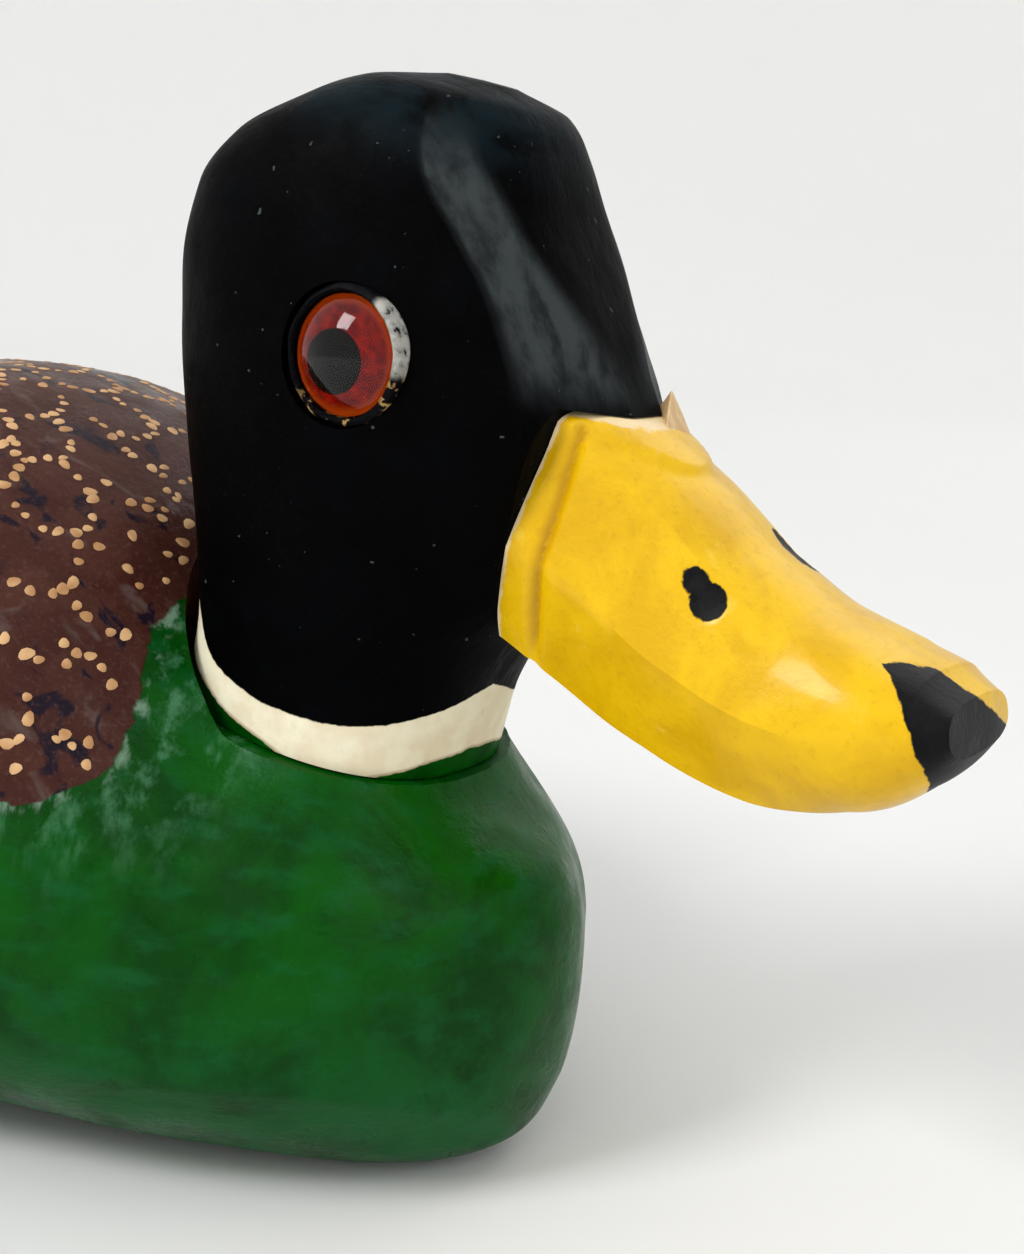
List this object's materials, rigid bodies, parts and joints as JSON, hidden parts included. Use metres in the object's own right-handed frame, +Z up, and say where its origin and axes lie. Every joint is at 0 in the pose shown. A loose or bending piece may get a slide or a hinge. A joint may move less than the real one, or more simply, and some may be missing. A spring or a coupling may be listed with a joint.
{
  "type": "floating duck decoy",
  "caption": "Hollow carved drake decoy with a turning head, let-in bill, glass eyes, screwed bottom board, ballast weight and anchor line ring.",
  "frame": {"origin": "bottom centre of the whole decoy, on the surface that it stands on", "axes": "+X towards the bill, +Y towards the duck's left side, +Z up"},
  "size_m": [0.3362, 0.132, 0.1375],
  "materials": {
    "green_paint": "semi-gloss green paint over wood",
    "black_paint": "satin black paint over wood",
    "yellow_paint": "semi-gloss yellow paint over wood",
    "bare_wood": "bare sanded wood",
    "eye_glass": "clear glass",
    "iris_paint": "painted backing disc",
    "putty": "hardened putty",
    "steel": "zinc-plated steel",
    "brass": "dull brass",
    "leather": "oiled leather",
    "ballast_metal": "dull cast metal"
  },
  "bodies": {
    "body": {"body_shell": "green_paint", "bottom_board": "bare_wood", "bottom_screw_1": "brass", "bottom_screw_2": "brass", "bottom_screw_3": "brass", "bottom_screw_4": "brass", "bottom_screw_5": "brass", "bottom_screw_6": "brass", "ballast_weight": "ballast_metal", "ballast_screw_1": "steel", "ballast_screw_2": "steel", "line_tie_staple": "brass"},
    "head": {"head": "black_paint", "bill": "yellow_paint", "bill_dowel": "bare_wood", "neck_washer": "leather", "neck_bolt": "steel", "neck_nut": "steel", "nut_washer": "steel", "eye_glass_right": "eye_glass", "eye_glass_left": "eye_glass", "eye_iris_right": "iris_paint", "eye_iris_left": "iris_paint", "eye_putty_right": "putty", "eye_putty_left": "putty", "eye_wire_right": "steel", "eye_wire_left": "steel"},
    "tie_ring": {"line_tie_ring": "brass"}
  },
  "joints": [
    {"name": "head_swivel", "type": "hinge", "parent": "body", "child": "head", "pos_m": [0.0819, 0, 0.0555], "axis": [0.2079, 0, 0.9781], "range_deg": [-60, 60]},
    {"name": "ring_swing", "type": "hinge", "parent": "body", "child": "tie_ring", "pos_m": [0.0899, 0, 0.0043], "axis": [0, -1, 0], "range_deg": [0, 110]}
  ]
}
